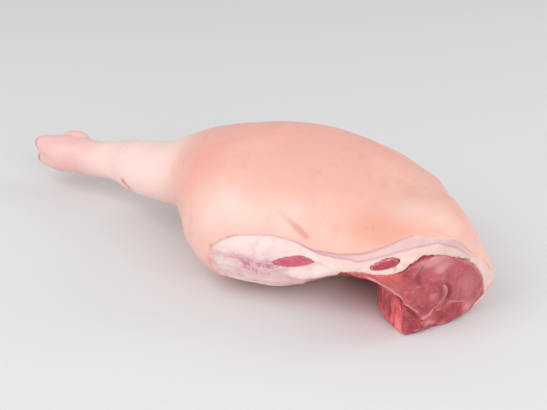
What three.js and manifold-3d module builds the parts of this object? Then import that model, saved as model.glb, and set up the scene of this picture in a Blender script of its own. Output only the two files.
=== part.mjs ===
// Raw pork leg: a whole hind leg with its skin and foot on, lying on its inner side.
// Units are millimetres. +X runs from the toes to the butt, -Y is the flank side and +Z is up.
// Two pieces: the skin with its fat, and the lean meat that shows at the cuts and runs inside it.

import * as THREE from "three";
import { mergeVertices } from "three/addons/utils/BufferGeometryUtils.js";
import Module from "manifold-3d";

const wasm = await Module();
wasm.setup();

// Driving dimensions: the outer form as cross sections along X.
// near and far are the two sides in Y, top and bottom are heights, middle is the share of the
// height where the section is widest, and the last three are the exponents of its round quarters.
const SECTIONS = [
  { x: -395, near: 17, far: 47, top: 72, bottom: 36, middle: 0.5, round: [2.2, 2.2, 2.2] },
  { x: -385, near: 8.5, far: 54, top: 79, bottom: 32, middle: 0.5, round: [2.2, 2.2, 2.2] },
  { x: -371, near: 3, far: 60, top: 83, bottom: 30, middle: 0.5, round: [2.2, 2.2, 2.2] },
  { x: -329, near: 11.5, far: 64, top: 82, bottom: 30, middle: 0.5, round: [2.2, 2.2, 2.2] },
  { x: -282, near: 6.5, far: 61, top: 91, bottom: 36, middle: 0.5, round: [2.2, 2.2, 2.2] },
  { x: -235, near: -20, far: 56, top: 109, bottom: 39, middle: 0.5, round: [2.2, 2.2, 2.2] },
  { x: -188, near: -35, far: 65, top: 118, bottom: 39, middle: 0.5, round: [2.2, 2.2, 2.2] },
  { x: -141, near: -40, far: 76, top: 140, bottom: 36, middle: 0.5, round: [2.2, 2.2, 2.2] },
  { x: -99, near: -84, far: 86, top: 162, bottom: 26, middle: 0.5, round: [2.2, 2.2, 2.3] },
  { x: -61, near: -126, far: 103, top: 175, bottom: 7.5, middle: 0.5, round: [2.2, 2.2, 2.4] },
  { x: -9.5, near: -156, far: 131, top: 183, bottom: -2, middle: 0.5, round: [2.2, 2.2, 2.5] },
  { x: 56, near: -150, far: 154, top: 176, bottom: -3, middle: 0.5, round: [2.2, 2.1, 2.5] },
  { x: 122, near: -121, far: 152, top: 159, bottom: -3, middle: 0.52, round: [2.2, 1.25, 2.5] },
  { x: 188, near: -124, far: 127, top: 144, bottom: -3, middle: 0.54, round: [2.2, 1, 2.5] },
  { x: 235, near: -114, far: 66, top: 147, bottom: -3, middle: 0.56, round: [2.2, 1.8, 2.5] },
  { x: 273, near: -95, far: 39, top: 123, bottom: -1, middle: 0.52, round: [2.2, 1.8, 1.7] },
  { x: 301, near: -66, far: 22, top: 76, bottom: 4.5, middle: 0.5, round: [2.2, 2, 1.1] },
  { x: 324, near: -33, far: -9.5, top: 55, bottom: 14, middle: 0.5, round: [2.2, 2.2, 1.2] },
];
const OUTER_RINGS = 60;
const OUTER_SIDES = 44;
const EDGE_ANGLE = 0.05;

// The upright cut at the butt: a plane through this corner, along this heading in plan.
const BUTT_CORNER = [240, -102];
const BUTT_HEADING = THREE.MathUtils.degToRad(58);

// The muscles that swell a little out of the butt cut: centre and radii along the cut and in height.
const MUSCLES = [
  { along: 36, high: 56, radii: [28, 30] },
  { along: 88, high: 49, radii: [31, 34] },
  { along: -2, high: 94, radii: [24, 16] },
  { along: 66, high: 11.5, radii: [32, 19] },
  { along: -13, high: 68, radii: [23, 21] },
  { along: 23, high: 13, radii: [24, 17] },
];
const MUSCLE_SWELL = 5;

// The upper edge of the open flank, where the rind stops, and how far its fat lies below the rind.
const RIND_EDGE = [
  [-11.5, 74], [-4, 90], [9.5, 102], [28, 111], [66, 116], [94, 108], [119, 99],
  [150, 101], [179, 107], [204, 118], [230, 130], [258, 131], [324, 131],
];
const RIND_LAST = 226;
const RIND_STEP = 4;
const RIND_BEVEL = 3;
const FLANK_START = -13;
const FLANK_LOW = 28;
const FLANK_SOFT = 8;
const FLANK_SIDE = [-66, -38];

// Folds of the skin: a fold above the flank and the crease at the front of the hock.
const FOLDS = [
  { from: [76, -114, 141], to: [112, -116, 107], deep: 4.5, wide: 8 },
  { from: [-233, -17, 62], to: [-222, -24, 53], deep: 4, wide: 8 },
];

// Fat cover between the rind and the lean, by place along X.
const FAT_TOP = [[-75, 21], [141, 24], [221, 32], [258, 31], [282, 21], [310, 14]];
const FAT_SIDE = [[-75, 19], [188, 17], [310, 18]];
const FAT_UNDER = [[-75, 15], [85, 13], [310, 7.5]];
const LEAN_START = -60;
const LEAN_NOSE = 66;
const LEAN_END = 306;
const LEAN_BLUNT = 0.12;
const LEAN_RINGS = 26;
const LEAN_SIDES = 30;
const LEAN_SPREAD = 1.4;

// Where the inner side is cut bare of skin and fat: its front edge, and the height of the fat's
// lower lip on the flank side and on the far side.
const BARE_START = 142;
const BARE_ARC = 24;
const BARE_HALF = 141;
const BARE_END = 338;
const BARE_STEPS = 18;
const LIP_NEAR = [[138, 60], [158, 77], [190, 85], [216, 88], [235, 102], [324, 103]];
const LIP_FAR = 21;
const LIP_NEAR_Y = -86;
const LIP_FAR_Y = -4.5;
const BARE_ROWS = [-225, -130, LIP_NEAR_Y, -59, -32, LIP_FAR_Y, 47, 94, 225];
const BARE_FLOOR = -40;

// The lump of butt meat that hangs down under the flank flap and stands on the table.
const LUMP_PLAN = [
  [250, -112], [217, -96], [198, -82], [185, -64], [171, -34],
  [162, 28], [235, 23], [288, -56], [273, -98],
];
const LUMP_MIDDLE = [218, -30];
const LUMP_HIGH = 68;
const LUMP_FOOT = 5;
const LUMP_FOOT_SHARE = 0.12;
const LUMP_RINGS = 9;
const LUMP_SIDES = 48;
const TEAR_DEPTH = 3;
const TEAR_WAVES = [71, 23];
const TEAR_RISE = [0.05, 0.11];

// Lean that shows through the flank fat: centre, radii, turn in plan and tilt in height.
const LEAN_SPOTS = [
  { centre: [93, -124, 76.5], radii: [25, 17, 9.5], turn: 0.45 },
  { centre: [206, -99, 98], radii: [22, 29, 5.5], turn: 0.3, tilt: -0.38 },
];

// Toes, dewclaws and the point of the hock: centre, radii and tilt of the long axis.
const FOOT_FORMS = [
  { centre: [-390, 31, 61.5], radii: [35, 19, 16.5], tilt: 0.14 },
  { centre: [-389, 32, 43], radii: [34, 18, 14], tilt: -0.05 },
  { centre: [-365, 53, 73], radii: [24, 13, 13], tilt: -0.05 },
  { centre: [-357, 53, 42], radii: [21, 12, 10.5], tilt: 0.1 },
  { centre: [-252, 52, 79], radii: [26, 12, 18], tilt: 0 },
];

const EGG_SIDES = [16, 10];

// Free space between the two pieces, and the extent and mesh of the block that cuts the butt.
const CLEARANCE = 0.5;
const CUT_ALONG = [-112, 208];
const CUT_HIGH = [-16, 208];
const CUT_STEP = 8;

const smooth = (low, high, value) => THREE.MathUtils.smoothstep(value, low, high);

// A monotone cubic curve through [x, value] points, held level past its ends.
function curve(points) {
  const count = points.length;
  const step = [];
  const slope = [];
  for (let i = 0; i < count - 1; i += 1) {
    step.push(points[i + 1][0] - points[i][0]);
    slope.push((points[i + 1][1] - points[i][1]) / step[i]);
  }
  const tangent = [0];
  for (let i = 1; i < count - 1; i += 1) {
    if (slope[i - 1] * slope[i] <= 0) {
      tangent.push(0);
    } else {
      const before = 2 * step[i] + step[i - 1];
      const after = step[i] + 2 * step[i - 1];
      tangent.push((before + after) / (before / slope[i - 1] + after / slope[i]));
    }
  }
  tangent.push(0);
  return (x) => {
    if (x <= points[0][0]) return points[0][1];
    if (x >= points[count - 1][0]) return points[count - 1][1];
    let i = 0;
    while (x > points[i + 1][0]) i += 1;
    const t = (x - points[i][0]) / step[i];
    const rise = points[i][1] + t * t * (3 - 2 * t) * (points[i + 1][1] - points[i][1]);
    return rise + step[i] * t * (1 - t) * ((1 - t) * tangent[i] - t * tangent[i + 1]);
  };
}

const sectionCurve = (pick) => curve(SECTIONS.map((section) => [section.x, pick(section)]));
const near = sectionCurve((section) => section.near);
const far = sectionCurve((section) => section.far);
const top = sectionCurve((section) => section.top);
const bottom = sectionCurve((section) => section.bottom);
const middle = sectionCurve((section) => section.middle);
const roundTop = sectionCurve((section) => section.round[0]);
const roundNear = sectionCurve((section) => section.round[1]);
const roundFar = sectionCurve((section) => section.round[2]);
const rindEdge = curve(RIND_EDGE);
const fatTop = curve(FAT_TOP);
const fatSide = curve(FAT_SIDE);
const fatUnder = curve(FAT_UNDER);
const lipNear = curve(LIP_NEAR);

// The point of the cross section at x in a direction round its middle, drawn in by a cover of fat.
function sectionPoint(x, angle, cover) {
  const low = bottom(x) + cover.under;
  const high = top(x) - cover.top;
  const left = near(x) + cover.side;
  const right = far(x) - cover.side;
  const centreY = (left + right) / 2;
  const centreZ = low + (high - low) * middle(x);
  const c = Math.cos(angle);
  const s = Math.sin(angle);
  const reach = s > 0 ? high - centreZ : centreZ - low;
  const lower = c < 0 ? roundNear(x) : roundFar(x);
  const power = s > 0 ? roundTop(x) : lower;
  const sum = Math.abs(c / ((right - left) / 2)) ** power + Math.abs(s / reach) ** power;
  const radius = sum ** (-1 / power);
  return new THREE.Vector3(x, centreY + radius * c, centreZ + radius * s);
}

const NO_COVER = { top: 0, side: 0, under: 0 };

// How deep a point of the outer form lies in a skin fold, in mm.
function foldDepth(point) {
  let depth = 0;
  for (const fold of FOLDS) {
    const line = new THREE.Line3(new THREE.Vector3(...fold.from), new THREE.Vector3(...fold.to));
    const away = line.closestPointToPoint(point, true, new THREE.Vector3()).distanceTo(point);
    depth += fold.deep * Math.exp(-((away / fold.wide) ** 2));
  }
  return depth;
}

// How far the open flank lies below the rind at a point, in mm.
function flankDepth(point) {
  const onNearSide = 1 - smooth(FLANK_SIDE[0], FLANK_SIDE[1], point.y);
  const belowEdge = smooth(0, RIND_BEVEL, rindEdge(point.x) - point.z);
  const aboveLow = smooth(0, FLANK_SOFT, point.z - FLANK_LOW);
  const pastStart = smooth(0, FLANK_SOFT, point.x - FLANK_START);
  return RIND_STEP * onNearSide * belowEdge * aboveLow * pastStart;
}

// The outer skin at x in a direction round the section, with its folds and its open flank.
function outerPoint(x, angle) {
  const point = sectionPoint(x, angle, NO_COVER);
  const centreY = (near(x) + far(x)) / 2;
  const centreZ = bottom(x) + (top(x) - bottom(x)) * middle(x);
  const inward = new THREE.Vector3(0, centreY - point.y, centreZ - point.z).normalize();
  point.addScaledVector(inward, foldDepth(point) + flankDepth(point));
  point.z = Math.max(point.z, 0);
  return point;
}

// The direction round the section in which the rind edge lies at x.
function edgeAngle(x) {
  const place = THREE.MathUtils.clamp(x, FLANK_START, RIND_LAST);
  const height = rindEdge(place);
  let low = Math.PI / 2;
  let high = Math.PI * 1.5;
  for (let i = 0; i < 30; i += 1) {
    const half = (low + high) / 2;
    if (sectionPoint(place, half, NO_COVER).z > height) low = half;
    else high = half;
  }
  return (low + high) / 2;
}

// A closed body from rings of points, every ring with as many points, its ends closed by fans.
function loft(rings) {
  const sides = rings[0].length;
  const positions = rings.flat().flatMap((point) => [point.x, point.y, point.z]);
  const triangles = [];
  const at = (ring, side) => ring * sides + (side % sides);
  for (let ring = 0; ring < rings.length - 1; ring += 1) {
    for (let side = 0; side < sides; side += 1) {
      const a = at(ring, side);
      const b = at(ring, side + 1);
      const c = at(ring + 1, side + 1);
      const d = at(ring + 1, side);
      triangles.push(a, b, c, a, c, d);
    }
  }
  const ends = [rings[0], rings[rings.length - 1]];
  ends.forEach((ring, end) => {
    const centre = new THREE.Vector3();
    ring.forEach((point) => centre.addScaledVector(point, 1 / sides));
    const hub = positions.length / 3;
    positions.push(centre.x, centre.y, centre.z);
    const row = end === 0 ? 0 : rings.length - 1;
    for (let side = 0; side < sides; side += 1) {
      const a = at(row, side);
      const b = at(row, side + 1);
      if (end === 0) triangles.push(hub, b, a);
      else triangles.push(hub, a, b);
    }
  });
  const geometry = new THREE.BufferGeometry();
  geometry.setAttribute("position", new THREE.Float32BufferAttribute(positions, 3));
  geometry.setIndex(triangles);
  return geometry;
}

const MERGE_WITHIN = 1e-4;

// A solid from a closed geometry, turned right side out where its faces point in.
function solid(geometry) {
  geometry.deleteAttribute("normal");
  geometry.deleteAttribute("uv");
  const merged = mergeVertices(geometry, MERGE_WITHIN);
  const vertProperties = Float32Array.from(merged.attributes.position.array);
  const triVerts = Uint32Array.from(merged.index.array);
  const body = new wasm.Manifold(new wasm.Mesh({ numProp: 3, vertProperties, triVerts }));
  if (body.volume() > 0) return body;
  for (let i = 0; i < triVerts.length; i += 3) {
    [triVerts[i], triVerts[i + 1]] = [triVerts[i + 1], triVerts[i]];
  }
  return new wasm.Manifold(new wasm.Mesh({ numProp: 3, vertProperties, triVerts }));
}

// The largest connected body of a solid, without the loose scraps.
function largest(body) {
  const parts = body.decompose();
  return parts.reduce((best, part) => (part.volume() > best.volume() ? part : best));
}

// The whole leg before the cuts. One vertex of each ring lies on the rind edge and the next one
// just below it, so that the step of the rind is crisp.
function wholeForm() {
  const first = SECTIONS[0].x;
  const last = SECTIONS[SECTIONS.length - 1].x;
  const rings = [];
  for (let ring = 0; ring <= OUTER_RINGS; ring += 1) {
    const x = first + ((last - first) * ring) / OUTER_RINGS;
    const start = edgeAngle(x);
    const points = [outerPoint(x, start)];
    for (let side = 0; side < OUTER_SIDES - 1; side += 1) {
      const share = side / (OUTER_SIDES - 1);
      points.push(outerPoint(x, start + EDGE_ANGLE + (2 * Math.PI - EDGE_ANGLE) * share));
    }
    rings.push(points);
  }
  return solid(loft(rings));
}

// An egg-shaped solid by its centre and radii, tilted in height and turned in plan.
function egg(form) {
  const geometry = new THREE.SphereGeometry(1, EGG_SIDES[0], EGG_SIDES[1]);
  geometry.scale(...form.radii);
  geometry.rotateY(form.tilt ?? 0);
  geometry.rotateZ(form.turn ?? 0);
  geometry.translate(...form.centre);
  return solid(geometry);
}

// The lean inside: the outer form drawn in by its cover of fat, with a round nose to the shank.
function leanCore(grow) {
  const rings = [];
  for (let ring = 0; ring <= LEAN_RINGS; ring += 1) {
    const share = ring / LEAN_RINGS;
    const x = LEAN_START - grow + (LEAN_END - LEAN_START + grow) * share ** LEAN_SPREAD;
    const inNose = Math.min((x - LEAN_START + grow) / LEAN_NOSE, 1);
    const swell = Math.max(Math.sqrt(1 - (1 - inNose) ** 2), LEAN_BLUNT);
    const cover = {
      top: fatTop(x) - grow,
      side: fatSide(x) - grow,
      under: fatUnder(x) - grow,
    };
    const centreY = (near(x) + far(x)) / 2;
    const centreZ = (top(x) + bottom(x)) / 2;
    const points = [];
    for (let side = 0; side < LEAN_SIDES; side += 1) {
      const point = sectionPoint(x, (2 * Math.PI * side) / LEAN_SIDES, cover);
      point.y = centreY + (point.y - centreY) * swell;
      point.z = centreZ + (point.z - centreZ) * swell;
      points.push(point);
    }
    rings.push(points);
  }
  return solid(loft(rings));
}

// How far the butt face swells out of its plane, the muscles being low domes between seams.
function buttSwell(along, high) {
  let swell = 0;
  for (const muscle of MUSCLES) {
    const reach = Math.hypot(
      (along - muscle.along) / muscle.radii[0],
      (high - muscle.high) / muscle.radii[1],
    );
    swell = Math.max(swell, 1 - reach * reach);
  }
  return MUSCLE_SWELL * swell;
}

// A block between a sheet given as rows of points and the same sheet moved away from it.
function sheetBlock(rows, move) {
  const rings = rows.map((row) => [...row, ...row.map(move).reverse()]);
  return solid(loft(rings));
}

// What the butt cut takes away: all beyond the swelling face.
function buttCut() {
  const heading = new THREE.Vector3(Math.cos(BUTT_HEADING), Math.sin(BUTT_HEADING), 0);
  const outward = new THREE.Vector3(Math.sin(BUTT_HEADING), -Math.cos(BUTT_HEADING), 0);
  const rows = [];
  for (let along = CUT_ALONG[0]; along <= CUT_ALONG[1]; along += CUT_STEP) {
    const row = [];
    for (let high = CUT_HIGH[0]; high <= CUT_HIGH[1]; high += CUT_STEP) {
      const point = new THREE.Vector3(BUTT_CORNER[0], BUTT_CORNER[1], high);
      point.addScaledVector(heading, along);
      point.addScaledVector(outward, buttSwell(along, high));
      row.push(point);
    }
    rows.push(row);
  }
  return sheetBlock(rows, (point) => point.clone().addScaledVector(outward, CUT_ALONG[1]));
}

// The zone on the inner side that is bare of skin and fat, under a sheet from lip to lip.
function bareZone(grow) {
  const rows = [];
  for (let step = 0; step <= BARE_STEPS; step += 1) {
    const row = [];
    for (const y of BARE_ROWS) {
      const arc = BARE_ARC * Math.max(1 - (y / BARE_HALF) ** 2, 0);
      const start = BARE_START - arc - grow;
      const x = start + ((BARE_END - start) * step) / BARE_STEPS;
      const share = smooth(LIP_NEAR_Y, LIP_FAR_Y, y);
      const high = THREE.MathUtils.lerp(lipNear(x), LIP_FAR, share);
      row.push(new THREE.Vector3(x, y, high + grow));
    }
    rows.push(row);
  }
  return sheetBlock(rows, (point) => new THREE.Vector3(point.x, point.y, BARE_FLOOR));
}

// The lump under the flap: a level foot, a round shoulder and torn, rippled sides.
function lump() {
  const plan = new THREE.CatmullRomCurve3(
    LUMP_PLAN.map(([x, y]) => new THREE.Vector3(x, y, 0)), true, "catmullrom", 0.3,
  );
  const centre = new THREE.Vector3(LUMP_MIDDLE[0], LUMP_MIDDLE[1], 0);
  const rings = [];
  for (let ring = 0; ring <= LUMP_RINGS; ring += 1) {
    const share = ring / LUMP_RINGS;
    const high = LUMP_HIGH * share;
    const drawnIn = LUMP_FOOT * (1 - smooth(0, LUMP_FOOT_SHARE, share));
    const points = [];
    for (let side = 0; side < LUMP_SIDES; side += 1) {
      const turn = side / LUMP_SIDES;
      const point = plan.getPoint(turn);
      const across = Math.sin(turn * TEAR_WAVES[0] + high * TEAR_RISE[0]);
      const along = Math.sin(turn * TEAR_WAVES[1] + high * TEAR_RISE[1]);
      const inward = centre.clone().sub(point).normalize();
      point.addScaledVector(inward, drawnIn + TEAR_DEPTH * across * along);
      point.z = high;
      points.push(point);
    }
    rings.push(points);
  }
  return solid(loft(rings));
}

// One named mesh of a solid.
function piece(name, body, color, roughness) {
  const mesh = body.getMesh();
  const geometry = new THREE.BufferGeometry();
  geometry.setAttribute("position", new THREE.Float32BufferAttribute(mesh.vertProperties, 3));
  geometry.setIndex(Array.from(mesh.triVerts));
  geometry.computeVertexNormals();
  const material = new THREE.MeshStandardMaterial({ color, roughness, metalness: 0 });
  const part = new THREE.Mesh(geometry, material);
  part.name = name;
  return part;
}

const foot = FOOT_FORMS.map(egg);
const whole = foot.reduce((body, form) => body.add(form), wholeForm());
const cut = buttCut();
const spots = LEAN_SPOTS.map(egg);
const spotRooms = LEAN_SPOTS.map((spot) => egg({
  ...spot,
  radii: spot.radii.map((radius) => radius + CLEARANCE),
}));

const bareMeat = whole.intersect(bareZone(0));
let lean = leanCore(0).add(bareMeat).add(lump());
for (const spot of spots) lean = lean.add(spot.intersect(whole));
lean = largest(lean.subtract(cut));

let skin = whole.subtract(cut).subtract(leanCore(CLEARANCE)).subtract(bareZone(CLEARANCE));
for (const room of spotRooms) skin = skin.subtract(room);
skin = largest(skin);

const leg = new THREE.Group();
leg.add(piece("skin_and_fat", skin, 0xf2c3b5, 0.45));
leg.add(piece("lean_meat", lean, 0xb85a62, 0.35));

// The origin is in the middle of the foot print, on the table.
const box = new THREE.Box3().setFromObject(leg);
const centre = box.getCenter(new THREE.Vector3());
leg.position.set(-centre.x, -centre.y, -box.min.z);

export default leg;
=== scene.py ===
import itertools
import math

import bmesh
import bpy
import numpy as np
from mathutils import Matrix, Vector


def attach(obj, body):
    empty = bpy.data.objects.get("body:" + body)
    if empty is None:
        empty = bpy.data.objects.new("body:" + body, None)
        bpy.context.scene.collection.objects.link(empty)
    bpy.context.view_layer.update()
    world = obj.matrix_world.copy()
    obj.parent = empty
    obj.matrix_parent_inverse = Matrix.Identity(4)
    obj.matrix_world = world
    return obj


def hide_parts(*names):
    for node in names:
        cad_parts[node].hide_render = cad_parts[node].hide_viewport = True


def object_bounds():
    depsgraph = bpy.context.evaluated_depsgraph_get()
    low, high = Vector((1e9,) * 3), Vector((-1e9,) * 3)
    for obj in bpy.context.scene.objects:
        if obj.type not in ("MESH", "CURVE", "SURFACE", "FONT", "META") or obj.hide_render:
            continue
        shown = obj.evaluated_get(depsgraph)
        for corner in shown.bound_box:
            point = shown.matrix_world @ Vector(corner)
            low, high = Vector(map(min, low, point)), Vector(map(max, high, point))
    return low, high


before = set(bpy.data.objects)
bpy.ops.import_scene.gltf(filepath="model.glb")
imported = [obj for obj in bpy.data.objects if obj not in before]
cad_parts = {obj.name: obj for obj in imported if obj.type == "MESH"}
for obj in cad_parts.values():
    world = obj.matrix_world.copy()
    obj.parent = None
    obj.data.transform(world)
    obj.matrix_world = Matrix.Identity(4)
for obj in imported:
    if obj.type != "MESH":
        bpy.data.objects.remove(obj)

CAD_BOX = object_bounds()

# The leg is shaped in millimetres in a frame of its own: +X from the toes to the butt, -Y the flank
# side, +Z up. TOE_TIP and FLANK_BULGE are the lowest X and Y of the solids in that frame.
MM = 0.001
TOE_TIP = -424.658
FLANK_BULGE = -155.854
SHIFT = np.array([CAD_BOX[0][0] / MM - TOE_TIP, CAD_BOX[0][1] / MM - FLANK_BULGE, 0.0])

# The grid that the forms are worked out on, and the gap between the fat and the lean.
CELL = 1.9
GRID_LOW = (-432, -162)
GRID_HIGH = (318, 162, 192)
GAP = 0.3
FAR_AWAY = 1e9

# Cross sections: x, near side, far side, top, bottom, share of the height at the widest place, and
# the exponents of the round top, lower near and lower far quarters.
SECTIONS = [
    (-395, 17, 47, 72, 36, 0.50, 2.2, 2.2, 2.2),
    (-385, 8.5, 54, 79, 32, 0.50, 2.2, 2.2, 2.2),
    (-371, 3, 60, 83, 30, 0.50, 2.2, 2.2, 2.2),
    (-329, 11.5, 64, 82, 30, 0.50, 2.2, 2.2, 2.2),
    (-282, 6.5, 61, 91, 36, 0.50, 2.2, 2.2, 2.2),
    (-235, -20, 56, 109, 39, 0.50, 2.2, 2.2, 2.2),
    (-188, -35, 65, 118, 39, 0.50, 2.2, 2.2, 2.2),
    (-141, -40, 76, 140, 36, 0.50, 2.2, 2.2, 2.2),
    (-99, -84, 86, 162, 26, 0.50, 2.2, 2.2, 2.3),
    (-61, -126, 103, 175, 7.5, 0.50, 2.2, 2.2, 2.4),
    (-9.5, -156, 131, 183, -2, 0.50, 2.2, 2.2, 2.5),
    (56, -150, 154, 176, -3, 0.50, 2.2, 2.1, 2.5),
    (122, -121, 152, 159, -3, 0.52, 2.2, 1.25, 2.5),
    (188, -124, 127, 144, -3, 0.54, 2.2, 1.0, 2.5),
    (235, -114, 63, 147, -3, 0.56, 2.2, 1.8, 2.5),
    (273, -95, 39, 123, -1, 0.52, 2.2, 1.8, 1.7),
    (301, -66, 26, 77, 4.5, 0.50, 2.2, 2.0, 1.1),
    (324, -33, -6, 55, 14, 0.50, 2.2, 2.2, 1.2),
]

# The butt cut: a plane through this corner along this heading, and its muscles with their centres
# and radii along the cut and in height.
BUTT_CORNER = (240, -102)
BUTT_HEADING = math.radians(58)
MUSCLES = [
    (36, 56, 28, 30),
    (88, 49, 31, 34),
    (-2, 94, 24, 16),
    (66, 11.5, 32, 19),
    (-13, 68, 23, 21),
    (23, 13, 24, 17),
]
MUSCLE_SWELL = 5

# For each muscle the direction of its fibres at the cut, in radians. Round one place they turn in
# a swirl: its centre along the cut and in height, its radius, and the fibre length of one radian.
MUSCLE_GRAIN = [0.3, 1.2, -0.5, 0.3, -0.7, 0.1]
SWIRL = (34, 54)
SWIRL_RADIUS = 25
SWIRL_PITCH = 12

# The upper edge of the lean on the butt face by place along the cut, the fat round its end, the
# further fat at its flank side, and how far behind the cut this edge takes over.
LEAN_TOP = [
    (-31, 86), (-16, 90), (-4, 97), (7, 103), (22, 106), (40, 103), (52, 99), (67, 91),
    (83, 84), (100, 71), (111, 54), (117, 38), (121, 10),
]
FACE_RIM = 3.5
FLANK_COVER = 9
FACE_DEEP = (-36, -12)

# Patches of the butt face along the cut and in height: centre, radii and tone, from deep red to pale.
FACE_PATCHES = [
    # The pale patches at 46, 82 and at 92, 16 are painted highlights of the wet meat.
    (86, 52, 24, 28, 0.45), (34, 97, 24, 9, 1.1), (46, 82, 10, 6, 0.9), (58, 86, 8, 5, 0.5),
    (33, 50, 7, 6, 0.5), (30, 66, 5, 8, -0.35), (48, 70, 7, 5, 0.4), (5, 62, 8, 12, 0.3),
    (69, 22, 9, 6, -1.0), (52, 15, 9, 6, -1.0), (43, 22, 6, 5, -0.7), (5, 18, 7, 15, -0.9),
    (29, 13, 6, 3.5, 0.9), (38, 9, 4.5, 3, 0.8), (11, 6, 5, 3, 0.8), (52, 4.5, 6, 3, 0.7),
    (92, 16, 9, 7, 0.7), (74, 6, 16, 4, -0.4), (62, 38, 3.5, 5, -0.6), (20, 34, 6, 5, -0.4),
]

# Dark seams between muscles and pale sinew on the butt face, as paths along the cut and in height,
# with their half widths and depth or height. A seam of the last depth or more is fully dark.
SEAMS = [
    ([(56.6, 60), (61, 52.6), (62.6, 45), (58.6, 37), (49.6, 31), (42, 26)], 2.0, 2.0),
    ([(36, 66), (43.5, 58), (46, 48.6), (44, 40)], 1.6, 0.9),
    ([(26, 58), (24, 51), (28, 41)], 2.0, 0.6),
    ([(18.6, 93), (13, 86), (12, 76.6), (14, 70)], 2.6, 1.1),
    ([(14.7, 18.4), (17.5, 11.4), (20, 7.5)], 1.3, 1.4),
    ([(-8, 46), (4, 34), (12, 25.5), (19, 18)], 2.0, 2.6),
    ([(-4, 96), (20, 88), (24, 97)], 2.0, 0.4),
]
SINEWS = [
    ([(49, 59.4), (54.7, 54.6), (56, 46.8), (52, 37.6), (43.4, 30), (31.4, 23.4), (19, 20.6)],
     2.0, 1.2),
    ([(62, 31.5), (73.6, 28.6), (85, 25.7)], 1.4, 0.8),
    ([(-9, 52), (5.7, 38.6), (14.5, 30)], 1.3, 1.4),
    ([(83, 83.5), (100, 69.6), (110.6, 52.3), (115, 38.8), (109, 25.6), (96, 13), (83.5, 7)],
     2.6, 0.5),
]
DARKEST_SEAM = 1.6

# Patches of the lump's near wall by X and height: centre, radii and tone; and the creases between
# its torn bundles with their half widths and depths.
WALL_PATCHES = [
    # The patches at X 229 and 242 are painted light: a lit facet low on the wall and a highlight
    # streak.
    (207, 30, 7, 10, -1.0), (219, 32, 4, 14, 0.45), (195, 44, 6, 10, 0.4), (229, 10, 13, 15, 1.0),
    (242, 24, 6, 12, 0.5), (246, 36, 6, 6, -0.7), (200, 12, 9, 8, 0.25), (236, 40, 5, 7, -0.8),
]
WALL_CREASES = [
    ([(226, 50), (231, 42), (238, 33), (243, 27)], 2.4, 2.6),
    ([(212, 46), (210, 34), (213, 22), (210, 12)], 2.2, 2.2),
    ([(199, 56), (202, 46), (200, 37)], 2.0, 1.4),
    ([(222, 34), (219, 22), (221, 10), (217, 0)], 2.0, 1.5),
    ([(190, 24), (200, 20), (210, 12)], 2.0, 1.4),
]

# The open flank under the edge of the rind: the edge's height by X, the step down from the rind,
# the width by X of the band of cut rind and where it fades, and the flank's start, foot and side.
RIND_EDGE = [
    (-11.5, 74), (-4, 90), (9.5, 102), (28, 111), (66, 116), (94, 108), (119, 99),
    (150, 101), (179, 107), (204, 118), (230, 131), (245, 134), (324, 134),
]
RIND_STEP = 4
BAND_WIDE = [
    (85, 0), (95, 3), (120, 4.5), (150, 7.5), (180, 10), (200, 12), (225, 14), (245, 14),
    (262, 10), (280, 7), (300, 4),
]
BAND_FADE = (298, 272)
FLANK_START = -13
FLANK_LOW = 28
FLANK_SIDE = (-66, -38)

# How far the rind is set back from the butt cut at their shared corner, by place along the cut.
RIND_CORNER = [
    (-30, -45), (-18, -34), (-7, -27.5), (4, -21.5), (13, -17), (19, -14), (27, -10.5), (41, -6.5),
    (49, -4), (57, -1.5),
]

# The roll of fat along the lower lip of the flank, with its thinner end at the flap, how softly
# they join, and the dish above them: centre and radii.
ROLL_PATH = [(36, -131, 46), (60, -126, 46), (79, -112, 42), (94, -96, 40)]
ROLL_RADIUS = 10
LIP_PATH = [(92, -115, 55), (104, -114, 57), (118, -113, 62), (132, -113, 69), (146, -113, 76)]
LIP_RADIUS = 11
ROLL_JOIN = 9
DISH = ((46, -151, 76), (34, 22, 14))
DISH_DEPTH = 3

# Where the lips and the skirt below them are bare fat: the distance from the lips, the start by X,
# and the skirt's height, half height and side.
LIP_FAT = (15, 12)
LIP_FAT_START = (30, 60)
SKIRT_HIGH = 26
SKIRT_WIDE = 7
SKIRT_START = (4, 16)
SKIRT_SIDE = (-88, -100)

# Folds in the skin: from, to, depth and half width. The first three make one tapered fold. The skin
# is painted darker in the folds by their depth, as painted shade.
FOLDS = [
    ((72, -118, 140), (110, -116, 110.5), 1.0, 2.4),
    ((84, -118, 131), (108, -116, 112), 1.0, 3.0),
    ((93, -117, 124), (106, -116, 113.5), 1.5, 3.6),
    ((-234, -16, 62), (-223, -24, 53), 4.0, 5.0),
]
# A fold of this depth or more gets the full painted shade.
DARKEST_FOLD = 3.5

# The cover of fat over the lean by place along X, and the round nose of the lean.
FAT_TOP = [(-75, 21), (141, 24), (221, 32), (258, 31), (282, 21), (310, 14)]
FAT_SIDE = [(-75, 19), (188, 17), (310, 18)]
FAT_UNDER = [(-75, 15), (85, 13), (310, 7.5)]
LEAN_START = -60
LEAN_NOSE = 66
LEAN_END = 306

# The zone of the inner side that is bare of skin and fat.
BARE_START = 142
BARE_ARC = 24
BARE_HALF = 141
LIP_NEAR = [(138, 60), (158, 77), (190, 84), (216, 87), (230, 92), (240, 99), (324, 103)]
LIP_FAR = 21
LIP_NEAR_Y = -86
LIP_FAR_Y = -4.5

# The rim's upper corner between flank and butt is rounded off: centre, radii and depth, and the
# rounding of the cut's edge there by Y and height. The fat shows further in by Y and by depth.
RIM_CORNER = ((257, -78, 130), (22, 20, 16))
RIM_DENT = 6
CORNER_ROUNDING = 16
CORNER_SIDE = (-60, -78)
CORNER_HIGH = (134, 124)
CORNER_FAT_SIDE = (-56, -72)
CORNER_FAT_DEEP = (-18, -11)

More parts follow.
